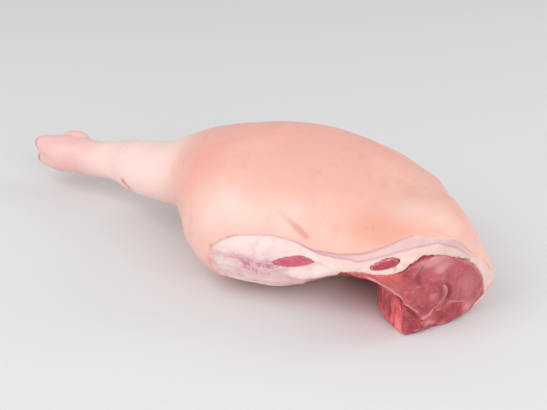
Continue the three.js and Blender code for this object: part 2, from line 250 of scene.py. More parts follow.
# The raw red edge at the lower left of the flank.
RAW_PATH = [(-9, -153, 67), (-7, -150, 59), (-6, -143, 47), (-3, -135, 37), (-2, -122, 26)]

# The rind's cut edge along the flank, and on round the butt cut by place along it and height.
RIND_RIM = [
    (-10, -155, 74), (-6, -157, 86), (3, -156, 97), (12, -155, 102), (42, -149, 114),
    (67, -141, 116), (82, -132, 114), (96, -122, 109), (119, -116, 99), (136, -116, 99),
    (165, -114, 104), (177, -112, 106), (204, -101, 119), (216, -95, 125), (228, -90, 129),
    (237, -85, 132), (249, -77, 132),
]
BUTT_RIM = [
    (43, 129), (55.5, 123), (73, 112), (92, 94), (111, 78), (119, 69), (131, 53),
    (133.5, 40), (116, 23.5), (100, 10),
]

# A cut line where the flap starts, nicks along the rind's edge, and brown dashes between the fat and
# the lean of the butt face, by place along the cut and height.
FLAP_LINE = [(95, -128, 107), (98, -127, 101), (100, -127, 95)]
RIND_NICKS = [(-5, -156, 90), (7, -155, 99), (19, -153, 105), (30, -151, 110)]
BORDER_DASHES = [(66, 93), (76, 89), (83, 86), (91, 82), (95, 77), (105, 71)]

# Two faint brown marks in the skin above the flap.
SKIN_MARKS = [[(175, -95, 119), (173, -85, 128)], [(184, -93, 121), (181, -81, 130)]]

# Crumbling fat at the lean's upper left corner, and a dark streak in the meat under it.
CRUMB_PATH = [(220, -116, 96), (227, -113, 101), (233, -109, 106), (239, -105, 109)]
WEDGE_STREAK = [(220, -118, 82), (229, -115, 76), (238, -112, 71), (242, -106, 66)]

# The lump of butt meat under the flap: its plan, how strongly the plan's sides bend, its height,
# and how far and how high it is tucked in at its foot.
LUMP_PLAN = [
    (250, -112), (217, -96), (198, -82), (185, -64), (171, -34),
    (162, 28), (235, 23), (288, -56), (273, -98),
]
LUMP_BEND = 0.3
LUMP_HIGH = 68
LUMP_TUCK = 4
LUMP_TUCK_HIGH = 5

# The ridge along the flap's lower lip, which the lump hangs behind: its height and its side by X,
# and the groove below it: its depth, its drop below the ridge and its half width.
RIDGE_HIGH = [
    (150, 74), (168, 78), (185, 79.5), (198, 77.5), (210, 70), (220, 63), (228, 56.5), (237, 47),
    (243, 38), (250, 27),
]
RIDGE_SIDE = [(150, -119), (168, -123), (198, -123), (210, -120), (220, -116), (228, -110.5),
              (237, -104), (243, -94), (250, -85)]
GROOVE_DEPTH = 4
GROOVE_DROP = 7
GROOVE_WIDE = 7

# Lean that shows through the flank fat: centre, radii, turn in plan and tilt in height.
LEAN_SPOTS = [
    ((93, -124, 76.5), (25, 17, 9.5), 0.45, 0.0),
    ((206, -99, 98), (22, 29, 6.4), 0.3, -0.38),
]

# Toes, dewclaws and the point of the hock: centre, radii, tilt in height and softness of the join.
# The foot's front end is rounded over, and the ends of the toes are raw.
FOOT_FORMS = [
    ((-390, 31, 61.5), (35, 19, 16.5), 0.14, 12),
    ((-389, 32, 43), (34, 18, 14), -0.05, 9),
    ((-365, 53, 73), (24, 13, 13), -0.05, 2.5),
    ((-357, 53, 42), (21, 12, 10.5), 0.1, 5),
    ((-252, 52, 79), (26, 12, 18), 0.0, 10),
]
FOOT_ROUNDING = 10
TOE_ENDS = (-409, -416)

# Soft patches of colour by centre and radii. The bruises in the flank fat have a strength too.
BRUISES = [((24, -152, 74), (36, 30, 9), 0.6), ((54, -146, 66), (32, 20, 12), 1.3)]
STIFLE = ((-62, -80, 160), (34, 46, 34))
CROWN = ((-30, 10, 182), (90, 60, 40))
TAN_PATCHES = [((178, -86, 128), (36, 34, 24)), ((222, -90, 128), (32, 30, 20))]
# Lighter patches of painted light on the upper flank and the top: centre and radii.
PAINTED_LIGHT_PATCHES = [
    ((25, -138, 135), (60, 40, 30)), ((85, -110, 138), (26, 24, 18)), ((222, -46, 144), (34, 26, 20)),
]
# A patch of painted shade in the hollow of the hock fold: centre and radii.
HOCK_PIT_SHADE = ((-226, -22, 56), (8, 10, 8))
SALMON_PATCH = ((218, -118, 86), (22, 16, 10))
PALE_PATCH = ((228, -113, 66), (15, 14, 9))

# Where the skin pales, turns pinker and wrinkles, and where the fat darkens to the butt, by X.
PALE_SHANK = (-110, -170)
PINK_FOOT = (-285, -345)
HOCK_WRINKLES = -238
BUTT_FAT = (115, 185)

# Screen colours laid over one another where a mask says: mask, colour and share.
SKIN_TINTS = [
    ("blush", (244, 164, 148), 0.7),
    ("tan", (234, 166, 142), 0.8),
    # Painted light: lighter patches on the upper flank and the top.
    ("painted_light", (247, 204, 193), 0.8),
    ("pale", (250, 216, 208), 0.9),
    ("foot", (236, 186, 182), 0.85),
    ("mark", (216, 148, 122), 0.45),
    # Painted shade in the skin's folds, darker where they are deeper.
    ("fold", (214, 140, 135), 0.85),
    # Painted shade in the hollow of the hock fold.
    ("pit", (214, 146, 122), 0.7),
]
FAT_TINTS = [
    ("streak", (206, 112, 146), 0.7),
    # Painted shade: the roll of fat along the flank's lower lip is painted greyer.
    ("roll", (228, 184, 184), 0.6),
    ("butt", (235, 198, 192), 0.85),
    ("crumb", (244, 220, 196), 0.8),
    ("gap", (206, 130, 126), 0.7),
    ("band", (226, 186, 187), 1.0),
    ("line", (204, 150, 162), 0.7),
    ("rim", (222, 156, 150), 0.75),
    ("flap", (210, 138, 156), 0.8),
    ("dash", (150, 96, 84), 0.75),
]
RAW_TINTS = [
    ("nick", (186, 112, 104), 0.75),
    ("raw", (234, 122, 124), 0.7),
    ("quick", (224, 88, 110), 0.85),
]
WEDGE_TINTS = [
    ("salmon", (226, 96, 88), 0.8),
    ("pale", (206, 108, 112), 0.75),
    ("second", (172, 52, 68), 1.0),
]
MEAT_TINTS = [
    ("seam", (128, 36, 48), 0.7),
    ("sheen", (232, 160, 160), 0.6),
    # The lip is pale fascia along the ridge, painted lighter still as a highlight where its edge
    # catches the light.
    ("lip", (240, 178, 174), 0.75),
    ("edge", (232, 160, 158), 0.5),
    ("cover", (246, 214, 208), 0.85),
]

# The camera's turn round the leg, its height angle and distance, and the height it looks at, in m.
AZIMUTH = math.radians(28)
ELEVATION = math.radians(28)
DISTANCE = 1.645
AIM_HEIGHT = 0.0752
LENS = 80
SENSOR = 36

# Soft lights: name, place and side in m, and power in W. The white world's strength, and the floor.
LIGHTS = [
    ("key", (-0.9, -1.4, 2.0), 1.8, 22),
    ("fill", (1.9, -1.2, 1.2), 1.6, 19),
    ("low", (-1.5, -1.8, 0.5), 1.4, 9),
    ("back", (1.7, 1.5, 1.5), 1.2, 12),
]
WORLD_STRENGTH = 0.6
FLOOR_SIZE = 8


def curve(points):
    """A monotone cubic curve through (x, value) points, held level past its ends."""
    xs, ys = np.array(points, float).T
    step = np.diff(xs)
    slope = np.diff(ys) / step
    before = 2 * step[1:] + step[:-1]
    after = step[1:] + 2 * step[:-1]
    turns = slope[:-1] * slope[1:] <= 0
    safe = [np.where(turns, 1, part) for part in (slope[:-1], slope[1:])]
    tangent = np.zeros(len(xs))
    tangent[1:-1] = np.where(turns, 0, (before + after) / (before / safe[0] + after / safe[1]))

    def value(x):
        x = np.clip(x, xs[0], xs[-1])
        i = np.clip(np.searchsorted(xs, x, side="right") - 1, 0, len(step) - 1)
        t = (x - xs[i]) / step[i]
        rise = ys[i] + t * t * (3 - 2 * t) * (ys[i + 1] - ys[i])
        return rise + step[i] * t * (1 - t) * ((1 - t) * tangent[i] - t * tangent[i + 1])

    return value


SECTION_CURVES = [curve([(row[0], row[k]) for row in SECTIONS]) for k in range(1, 9)]
RIND_HEIGHT = curve(RIND_EDGE)
TOP_COVER = curve(FAT_TOP)
SIDE_COVER = curve(FAT_SIDE)
UNDER_COVER = curve(FAT_UNDER)
LIP_HEIGHT = curve(LIP_NEAR)
RIDGE_RISE = curve(RIDGE_HIGH)
RIDGE_PLACE = curve(RIDGE_SIDE)
BAND_WIDTH = curve(BAND_WIDE)
FACE_TOP = curve(LEAN_TOP)
CORNER_SET = curve(RIND_CORNER)


def smoothstep(low, high, value):
    """0 at the low value and 1 at the high one, with a smooth run between them."""
    t = np.clip((value - low) / (high - low), 0, 1)
    return t * t * (3 - 2 * t)


def stripe(distance, width):
    """A soft line: 1 at no distance, falling away by its width."""
    return np.exp(-(distance / width) ** 2)


def lump_at(x, y, z, centre, radii):
    """A soft round patch: 1 at its centre, falling away by its radii."""
    return np.exp(-sum(((v - c) / r) ** 2 for v, c, r in zip((x, y, z), centre, radii)))


def soft_min(a, b, reach):
    """The lower of two fields, blended where they are within reach of each other."""
    near = np.clip(1 - np.abs(a - b) / reach, 0, 1)
    return np.minimum(a, b) - near * near * reach / 4


def soft_max(a, b, reach):
    """The higher of two fields, blended likewise."""
    return -soft_min(-a, -b, reach)


def make_noise(seed, size=32):
    """Smooth noise from -1 to 1 by trilinear reading of a seeded lattice that repeats."""
    table = np.random.default_rng(seed).uniform(-1, 1, (size, size, size))

    def read(x, y, z):
        cell = [np.floor(v).astype(int) for v in (x, y, z)]
        part = [v - c for v, c in zip((x, y, z), cell)]
        part = [t * t * (3 - 2 * t) for t in part]
        total = 0.0
        for corner in itertools.product((0, 1), repeat=3):
            weight = 1.0
            for t, c in zip(part, corner):
                weight = weight * (t if c else 1 - t)
            i, j, k = [(v + c) % size for v, c in zip(cell, corner)]
            total = total + weight * table[i, j, k]
        return total

    return read


NOISE = make_noise(7)


def cloud(x, y, z, scale, octaves=3):
    """Noise summed over octaves, its largest lumps about scale mm across."""
    total = 0.0
    for octave in range(octaves):
        size = scale / 2 ** octave
        lift = 11.3 * octave
        total = total + NOISE(x / size + lift, y / size + lift, z / size - lift) / 2 ** octave
    return total / 1.6


def section_field(x, y, z, top=0.0, side=0.0, under=0.0):
    """How far a point lies outside the section at its x, drawn in by a cover of fat."""
    near, far, high, low, middle, round_top, round_near, round_far = [c(x) for c in SECTION_CURVES]
    near, far, high, low = near + side, far - side, high - top, low + under
    centre_z = low + (high - low) * middle
    dy = y - (near + far) / 2
    dz = z - centre_z
    reach = np.where(dz > 0, high - centre_z, centre_z - low)
    power = np.where(dz > 0, round_top, np.where(dy < 0, round_near, round_far))
    half = (far - near) / 2
    gauge = (np.abs(dy / half) ** power + np.abs(dz / reach) ** power) ** (1 / power)
    return np.hypot(dy, dz) * (1 - 1 / np.maximum(gauge, 1e-3))


def as_distance(field, cell):
    """A field scaled so that near zero it reads as a distance in mm."""
    slopes = np.gradient(field, cell)
    return field / np.maximum(np.sqrt(sum(s * s for s in slopes)), 0.5)


def egg_field(x, y, z, centre, radii, tilt=0.0, turn=0.0):
    """About the distance to an egg-shaped form, tilted in height and turned in plan."""
    dx, dy, dz = x - centre[0], y - centre[1], z - centre[2]
    dx, dy = dx * math.cos(turn) + dy * math.sin(turn), dy * math.cos(turn) - dx * math.sin(turn)
    dx, dz = dx * math.cos(tilt) - dz * math.sin(tilt), dz * math.cos(tilt) + dx * math.sin(tilt)
    parts = [dx / radii[0], dy / radii[1], dz / radii[2]]
    gauge = np.sqrt(sum(p * p for p in parts))
    steep = np.sqrt(sum((p / r) ** 2 for p, r in zip(parts, radii)))
    return gauge * (gauge - 1) / np.maximum(steep, 1e-6)


def line_distance(x, y, z, start, end):
    """The distance from a straight line between two points."""
    along = np.subtract(end, start)
    offset = (x - start[0], y - start[1], z - start[2])
    share = sum(o * a for o, a in zip(offset, along)) / float(along @ along)
    share = np.clip(share, 0, 1)
    return np.sqrt(sum((o - share * a) ** 2 for o, a in zip(offset, along)))


def path_distance(x, y, z, points):
    """The distance from a path through several points."""
    parts = [line_distance(x, y, z, a, b) for a, b in zip(points, points[1:])]
    return np.minimum.reduce(parts)


def smooth_path(points, steps=5):
    """More points on a smooth curve through the given ones."""
    points = np.array(points, float)
    padded = np.vstack([2 * points[0] - points[1], points, 2 * points[-1] - points[-2]])
    path = []
    for p0, p1, p2, p3 in zip(padded, padded[1:], padded[2:], padded[3:]):
        for t in np.linspace(0, 1, steps, endpoint=False):
            path.append(0.5 * (2 * p1 + (p2 - p0) * t + (2 * p0 - 5 * p1 + 4 * p2 - p3) * t ** 2
                               + (3 * p1 - p0 - 3 * p2 + p3) * t ** 3))
    return [tuple(p) for p in path] + [tuple(points[-1])]


def butt_place(x, y):
    """Where a point lies at the butt cut: along the cut, and outward of it."""
    c, s = math.cos(BUTT_HEADING), math.sin(BUTT_HEADING)
    dx, dy = x - BUTT_CORNER[0], y - BUTT_CORNER[1]
    return dx * c + dy * s, dx * s - dy * c


def butt_swell(along, high):
    """How far the muscles swell out of the cut."""
    swell = 0.0
    for centre_a, centre_h, radius_a, radius_h in MUSCLES:
        reach = ((along - centre_a) / radius_a) ** 2 + ((high - centre_h) / radius_h) ** 2
        swell = np.maximum(swell, 1 - reach)
    return MUSCLE_SWELL * swell


def fold_depth(x, y, z):
    """How deep the folds in the skin are at a point."""
    return sum(deep * np.exp(-(line_distance(x, y, z, start, end) / wide) ** 2)
               for start, end, deep, wide in FOLDS)


def lip_roll(x, y, z):
    """The roll of fat along the flank's lower lip, on to the flap."""
    roll = path_distance(x, y, z, ROLL_PATH) - ROLL_RADIUS
    lip = path_distance(x, y, z, LIP_PATH) - LIP_RADIUS
    return soft_min(roll, lip, ROLL_JOIN)


def flank_share(x, y, z):
    """1 on the open flank, where the rind is cut away, and 0 elsewhere."""
    near_side = 1 - smoothstep(*FLANK_SIDE, y)
    below = smoothstep(0, 2.5, RIND_HEIGHT(x) - z)
    above = smoothstep(0, 8, z - FLANK_LOW)
    started = smoothstep(0, 6, x - FLANK_START)
    along, outward = butt_place(x, y)
    at_rim = smoothstep(-2, 1.5, outward - CORNER_SET(along))
    return near_side * below * above * started * np.maximum(at_rim, smoothstep(-4, -12, along))


def whole_form(x, y, z, cell):
    """The leg before the cuts: its sections, its foot, its folds, the roll of fat along the flank's
    lower lip with the dish above it, and the dent at the rim's upper corner.
    """
    form = as_distance(section_field(x, y, z), cell)
    form = soft_max(form, SECTIONS[0][0] - x, FOOT_ROUNDING)
    for centre, radii, tilt, soft in FOOT_FORMS:
        form = soft_min(form, egg_field(x, y, z, centre, radii, tilt), soft)
    form = soft_min(form, lip_roll(x, y, z), ROLL_JOIN) + DISH_DEPTH * lump_at(x, y, z, *DISH)
    return form + fold_depth(x, y, z) + RIM_DENT * lump_at(x, y, z, *RIM_CORNER)


def closed_curve(points, bend, steps=8):
    """Points on a smooth closed curve through the given ones."""
    ring = []
    for i in range(len(points)):
        p0, p1, p2, p3 = [points[(i + k) % len(points)] for k in (-1, 0, 1, 2)]
        m1, m2 = bend * (p2 - p0), bend * (p3 - p1)
        for t in np.linspace(0, 1, steps, endpoint=False):
            ring.append((2 * t ** 3 - 3 * t ** 2 + 1) * p1 + (t ** 3 - 2 * t ** 2 + t) * m1
                        + (3 * t ** 2 - 2 * t ** 3) * p2 + (t ** 3 - t ** 2) * m2)
    return np.array(ring)


def plan_distance(x, y, ring):
    """The distance in plan from a closed outline, negative inside it."""
    x, y = np.broadcast_arrays(x, y)
    away = np.full(x.shape, FAR_AWAY)
    inside = np.zeros(x.shape, bool)
    for a, b in zip(ring, np.roll(ring, -1, 0)):
        away = np.minimum(away, line_distance(x, y, 0.0, (*a, 0), (*b, 0)))
        crosses = (a[1] > y) != (b[1] > y)
        run = (b[0] - a[0]) * (y - a[1]) / (b[1] - a[1] + 1e-9) + a[0]
        inside ^= crosses & (x < run)
    return np.where(inside, -away, away)


def lump_field(x, y, z):
    """The lump under the flap: an upright torn block, tucked in at its foot and below the ridge."""
    side = plan_distance(x, y, closed_curve(np.array(LUMP_PLAN, float), LUMP_BEND))
    tuck = LUMP_TUCK * stripe(z, LUMP_TUCK_HIGH)
    groove = stripe(z - RIDGE_RISE(x) + GROOVE_DROP, GROOVE_WIDE) * smoothstep(-75, -90, y)
    torn = 2.0 * np.abs(cloud(x, y, z * 0.5, 22, 2)) + 1.5 * cloud(x, y, z, 34, 2)
    return soft_max(side + tuck + GROOVE_DEPTH * groove + torn, z - LUMP_HIGH, 10)


def under_ridge(x, y, z):
    """Positive below the flap's ridge, where its underside slopes in and down at 45 degrees."""
    slope = (RIDGE_RISE(x) - z - y + RIDGE_PLACE(x)) * math.sqrt(0.5)
    return slope - 40 * (1 - smoothstep(150, 166, x))


def bare_field(x, y, z):
    """The zone on the inner side that is bare of skin and fat, under a sheet from lip to lip."""
    share = smoothstep(LIP_NEAR_Y, LIP_FAR_Y, y)
    far_lip = LIP_FAR * (1 - 0.7 * smoothstep(262, 292, x))
    sheet = LIP_HEIGHT(x) * (1 - share) + far_lip * share
    start = BARE_START - BARE_ARC * np.maximum(1 - (y / BARE_HALF) ** 2, 0)
    return soft_max(z - sheet, start - x, 6)


def core_field(x, y, z, cell):
    """The lean inside its cover of fat, with a round nose towards the shank."""
    in_nose = np.clip((x - LEAN_START) / LEAN_NOSE, 0, 1)
    swell = np.maximum(np.sqrt(1 - (1 - in_nose) ** 2), 0.12)
    near, far, high, low = [c(x) for c in SECTION_CURVES[:4]]
    centre_y, centre_z = (near + far) / 2, (high + low) / 2
    y2 = centre_y + (y - centre_y) / swell
    z2 = centre_z + (z - centre_z) / swell
    field = section_field(x, y2, z2, TOP_COVER(x), SIDE_COVER(x), UNDER_COVER(x))
    field = as_distance(field, cell)
    return np.maximum(np.maximum(field, LEAN_START - x), x - LEAN_END)


def build_fields():
    """The grid and the fields of the two pieces on it, negative inside."""
    low = np.array([*GRID_LOW, -3 * CELL])
    count = np.ceil((GRID_HIGH - low) / CELL).astype(int)
    axes = [low[k] + CELL * np.arange(count[k]) for k in range(3)]
    x, y, z = np.meshgrid(*axes, indexing="ij", sparse=True)
    form = whole_form(x, y, z, CELL)
    along, outward = butt_place(x, y)
    cut = outward - butt_swell(along, z)
    bare = bare_field(x, y, z) + 1.5 * cloud(x, y, z, 30)
    core = core_field(x, y, z, CELL) + 2.0 * cloud(x, y, z, 40)
    spots = [egg_field(x, y, z, centre, radii, tilt, turn) + 2.6 * cloud(x, y, z, 13)
             for centre, radii, turn, tilt in LEAN_SPOTS]
    flank = form + RIND_STEP * flank_share(x, y, z)
    at_face = smoothstep(*FACE_DEEP, outward)
    cover = FACE_RIM + FLANK_COVER * smoothstep(6, -10, along)
    rim = soft_max(z - FACE_TOP(along) + 1.5 * cloud(x, y, z, 18), form + cover, 4)
    meat = soft_min(core * (1 - at_face) + rim * at_face, bare, 4)
    for spot in spots:
        meat = np.minimum(meat, spot)
    corner = CORNER_ROUNDING * smoothstep(*CORNER_SIDE, y) * smoothstep(*CORNER_HIGH, z)
    skin = soft_max(flank, cut, 2.5 + corner)
    skin = np.maximum(skin, GAP / 2 - meat)
    lean = soft_max(flank + 0.4, meat + GAP / 2, 1.5)
    lean = soft_max(lean, under_ridge(x, y, z), 2)
    lean = soft_max(lean, cut, 3 + corner * smoothstep(40, 60, z))
    lean = soft_min(lean, soft_max(lump_field(x, y, z), cut, 3), 2)
    return low, form, np.maximum(skin, -z), np.maximum(lean, -z)


def net_vertices(field, low, cell):
    """One vertex in each cell that the zero surface crosses, and the vertices' numbers by cell."""
    count = np.array(field.shape)
    corners = list(itertools.product((0, 1), repeat=3))
    inside = field < 0
    held = sum(inside[i:count[0] - 1 + i, j:count[1] - 1 + j, k:count[2] - 1 + k].astype(np.int8)
               for i, j, k in corners)
    cells = np.argwhere((held > 0) & (held < 8))
    index = np.full(tuple(count - 1), -1)
    index[tuple(cells.T)] = np.arange(len(cells))
    values = [field[tuple((cells + corner).T)] for corner in corners]
    total = np.zeros((len(cells), 3))
    hits = np.zeros(len(cells))
    for a, b in itertools.combinations(range(8), 2):
        step = np.subtract(corners[b], corners[a])
        if np.abs(step).sum() != 1:
            continue
        crossed = (values[a] < 0) != (values[b] < 0)
        gap = np.where(crossed, values[a] - values[b], 1)
        share = np.where(crossed, values[a] / gap, 0)
        total += crossed[:, None] * (np.array(corners[a]) + share[:, None] * step)
        hits += crossed
    return low + cell * (cells + total / hits[:, None]), index


def net_quads(inside, index):
    """A quad round each grid edge that the surface crosses, facing outward."""
    quads = []
    for axis in range(3):
        u, v = (axis + 1) % 3, (axis + 2) % 3
        here = [slice(1, -1)] * 3
        ahead = [slice(1, -1)] * 3
        here[axis], ahead[axis] = slice(0, -1), slice(1, None)
        first, second = inside[tuple(here)], inside[tuple(ahead)]
        edges = np.argwhere(first != second)
        leaving = first[tuple(edges.T)]
        edges[:, u] += 1
        edges[:, v] += 1
        around = []
        for du, dv in ((-1, -1), (0, -1), (0, 0), (-1, 0)):
            cell_of = edges.copy()
            cell_of[:, u] += du
            cell_of[:, v] += dv
            around.append(index[tuple(cell_of.T)])
        ring = np.stack(around, 1)
        quads.append(np.where(leaving[:, None], ring, ring[:, ::-1]))
    return np.concatenate(quads)


def surface_net(field, low, cell):
    """The zero surface of a field as vertices and quads."""
    vertices, index = net_vertices(field, low, cell)
    return vertices, net_quads(field < 0, index)


def net_object(name, vertices, quads):
    """A smooth-shaded object from vertices in the leg's own frame."""
    mesh = bpy.data.meshes.new(name)
    mesh.vertices.add(len(vertices))
    mesh.vertices.foreach_set("co", ((vertices + SHIFT) * MM).astype(np.float32).ravel())
    mesh.loops.add(quads.size)
    mesh.loops.foreach_set("vertex_index", quads.astype(np.int32).ravel())
    mesh.polygons.add(len(quads))
    mesh.polygons.foreach_set("loop_start", np.arange(0, quads.size, 4, dtype=np.int32))
    mesh.polygons.foreach_set("use_smooth", np.ones(len(quads), bool))
    mesh.update(calc_edges=True)
    mesh.validate()
    piece = bpy.data.objects.new(name, mesh)
    bpy.context.collection.objects.link(piece)
    return piece


def read_field(field, low, points):
    """The field's value at points between the grid's own, by trilinear reading."""
    place = (points - low) / CELL
    cell = np.clip(np.floor(place).astype(int), 0, np.array(field.shape) - 2)
    part = place - cell
    total = np.zeros(len(points))
    for corner in itertools.product((0, 1), repeat=3):
        weight = np.prod(np.where(corner, part, 1 - part), axis=1)
        total += weight * field[tuple((cell + corner).T)]
    return total


def points_of(piece):
    """The vertices of a piece in the leg's own frame, and their normals."""
    count = len(piece.data.vertices)
    points, normals = np.empty(count * 3), np.empty(count * 3)
    piece.data.vertices.foreach_get("co", points)
    piece.data.vertex_normals.foreach_get("vector", normals)
    return points.reshape(-1, 3) / MM - SHIFT, normals.reshape(-1, 3)


def move_points(piece, points):
    """Puts a piece's vertices at new places, none of them below the floor."""
    points[:, 2] = np.maximum(points[:, 2], 0)
    piece.data.vertices.foreach_set("co", ((points + SHIFT) * MM).ravel())
    piece.data.update()


def refine(piece, choose):
    """Splits in four each face whose middle the function chooses."""
    centres = np.empty(len(piece.data.polygons) * 3)
    piece.data.polygons.foreach_get("center", centres)
    chosen = np.flatnonzero(choose(*(centres.reshape(-1, 3) / MM - SHIFT).T))
    work = bmesh.new()
    work.from_mesh(piece.data)
    work.faces.ensure_lookup_table()
    edges = {edge for i in chosen for edge in work.faces[i].edges}
    bmesh.ops.subdivide_edges(work, edges=list(edges), cuts=1, use_grid_fill=True)
    work.to_mesh(piece.data)
    work.free()


def paint(piece, **masks):
    """Stores values at the vertices for the materials to read."""
    for name, values in masks.items():
        layer = piece.data.attributes.new(name, "FLOAT", "POINT")
        layer.data.foreach_set("value", np.asarray(values, np.float32))


def on_butt(along, high):
    """The point of the butt cut at a length along it and a height."""
    return (BUTT_CORNER[0] + along * math.cos(BUTT_HEADING),
            BUTT_CORNER[1] + along * math.sin(BUTT_HEADING), high)


def near_cuts(x, y, z):
    """Where the skin piece needs a finer mesh: its flank, its butt rim, its folds and its toes."""
    outward = butt_place(x, y)[1]
    flank = (flank_share(x, y, z - 6) > 0.01) & (y < -90)
    return flank | (outward > -7) | (fold_depth(x, y, z) > 0.4) | (x < -372)


def near_meat(x, y, z):
    """Where the lean piece shows: its butt face, its lump and the spots in the flank."""
    outward = butt_place(x, y)[1]
    return (outward > -7) | ((y < -30) & (x > 150) & (z < 112)) | ((y < -100) & (x > 60))


low, form_field, skin_field, lean_field = build_fields()
skin = net_object("skin_and_fat_body", *surface_net(skin_field, low, CELL))
lean = net_object("lean_meat_body", *surface_net(lean_field, low, CELL))
refine(skin, near_cuts)
refine(lean, near_meat)


def fat_share(x, y, z, depth):
    """1 where the fat lies bare, by its depth below the skin and round the flank's lower lip."""
    outward = butt_place(x, y)[1]
    corner = smoothstep(*CORNER_FAT_SIDE, y) * smoothstep(*CORNER_FAT_DEEP, outward)
    fat = smoothstep(0.7 + 2.5 * corner, 2.2 + 1.6 * corner, depth)
    lips = np.minimum(path_distance(x, y, z, ROLL_PATH), path_distance(x, y, z, LIP_PATH))
    under = smoothstep(*LIP_FAT, lips) * smoothstep(*LIP_FAT_START, x)
    skirt = stripe(z - SKIRT_HIGH, SKIRT_WIDE) * smoothstep(*SKIRT_START, x)
    skirt = skirt * smoothstep(*SKIRT_SIDE, y)
    return np.maximum(fat, np.maximum(under, skirt))


def skin_relief(x, y, z):
    """Low waves and fine grain of the skin, and its wrinkles at the hock."""
    waves = 0.9 * cloud(x, y, z, 70, 2) + 0.25 * cloud(x, y, z, 9, 2)
    wrinkles = np.sin(x / 2.4 + 3 * cloud(x, y, z, 30, 2)) * stripe(x - HOCK_WRINKLES, 22)
    return waves + 0.35 * wrinkles


def fat_relief(x, y, z, fat, crumb, roll):
    """The lobes of the fat, its crumbs at the lean's corner, and the lumps of the roll."""
    lobes = (0.8 * np.abs(cloud(x, y, z, 16, 3)) + 0.35 * cloud(x, y, z, 6, 2)) * fat
    crumbs = (5.0 * np.abs(cloud(x, y, z, 8, 2)) - 1.2) * crumb
    return lobes + crumbs + 0.8 * roll * cloud(x, y, z, 11, 2)


def rind_masks(x, y, z, fat):
    """The cut edge of the rind: its band, the line below it, its rim and its nicks."""
    rim = path_distance(x, y, z, smooth_path(RIND_RIM + [on_butt(*p) for p in BUTT_RIM]))
    edge = BAND_WIDTH(x) + 1.2 * cloud(x, y, z, 20, 2)
    on_band = smoothstep(0, 3, edge) * smoothstep(*BAND_FADE, x) * fat
    nicks = stripe(path_distance(x, y, z, RIND_NICKS), 2.4)
    return dict(
        band=on_band * (1 - smoothstep(0, 1.6, rim - edge)),
        line=on_band * stripe(rim - edge, 1.3),
        rim=stripe(rim - 0.8, 1.1) * fat,
        nick=nicks * smoothstep(-0.1, 0.25, cloud(x, y, z, 9, 2)),
    )


def fat_masks(x, y, z, fat, crumb, roll):
    """What shows in the bare fat: its bruise, its crumbs, the dashes at the lean's border, and the
    painted shade on the roll.
    """
    blotch = smoothstep(-0.25, 0.45, cloud(x * 0.7, y * 0.7, z, 8, 3))
    streaks = smoothstep(0, 0.35, cloud(x * 0.22, y * 0.22, z, 5, 3))
    bruise = np.maximum.reduce([strength * lump_at(x, y, z, centre, radii) * fat
                                for centre, radii, strength in BRUISES])
    dashes = stripe(path_distance(x, y, z, [on_butt(*p) for p in BORDER_DASHES]), 2.0) * fat
    return dict(
        fat=fat,
        crumb=crumb,
        gap=crumb * smoothstep(0.05, -0.2, cloud(x, y, z, 6, 2)),
        bruise=np.clip(bruise * (0.35 + 0.75 * blotch), 0, 1),
        streak=np.clip(bruise * streaks, 0, 1),
        roll=roll,
        dash=dashes * smoothstep(-0.15, 0.1, cloud(x, y, z, 7, 2)),
        butt=smoothstep(*BUTT_FAT, x) * fat,
    )


def soft_patches(x, y, z, patches):
    return np.clip(sum(lump_at(x, y, z, centre, radii) for centre, radii in patches), 0, 1)


def tint_masks(x, y, z, fat):
    """The tints and marks of the skin, with painted shade in its folds and at the hock and painted
    light in lighter patches, which stop at the bare fat.
    """
    far_edge = stripe(y - 75, 50) * smoothstep(-40, 60, x)
    blush = lump_at(x, y, z, *STIFLE) + 0.75 * lump_at(x, y, z, *CROWN) + 0.6 * far_edge
    marks = np.minimum.reduce([path_distance(x, y, z, path) for path in SKIN_MARKS])
    tints = dict(
        blush=np.clip(blush, 0, 1),
        tan=soft_patches(x, y, z, TAN_PATCHES),
        # Painted light in lighter patches.
        painted_light=soft_patches(x, y, z, PAINTED_LIGHT_PATCHES),
        pale=smoothstep(*PALE_SHANK, x),
        foot=smoothstep(*PINK_FOOT, x),
        mark=stripe(marks, 1.8),
        # Painted shade in the folds, by their depth.
        fold=np.clip(fold_depth(x, y, z) / DARKEST_FOLD, 0, 1),
    )
    return {name: tint * (1 - fat) for name, tint in tints.items()}


def shape_skin():
    """Fine relief of the skin and fat, and the masks that colour them."""
    points, normals = points_of(skin)
    x, y, z = points.T
    fat = fat_share(x, y, z, -read_field(form_field, low, points))
    crumb = stripe(path_distance(x, y, z, CRUMB_PATH), 7) * fat
    # The roll's fat: lumped in relief, and painted greyer as shade.
    roll = stripe(path_distance(x, y, z, ROLL_PATH) - ROLL_RADIUS, 6) * fat
    flap = stripe(path_distance(x, y, z, FLAP_LINE), 1.6) * fat
    height = skin_relief(x, y, z) * (1 - fat) + fat_relief(x, y, z, fat, crumb, roll) - flap
    move_points(skin, points + normals * height[:, None])
    paint(skin, flap=flap, **rind_masks(x, y, z, fat), **fat_masks(x, y, z, fat, crumb, roll))
    paint(
        skin,
        raw=stripe(path_distance(x, y, z, RAW_PATH), 3.5),
        # Painted shade in the hollow of the hock fold.
        pit=lump_at(x, y, z, *HOCK_PIT_SHADE),
        quick=smoothstep(*TOE_ENDS, x + 0.2 * (z - 52) + 2 * cloud(x, y, z, 12, 2)),
        **tint_masks(x, y, z, fat),
    )


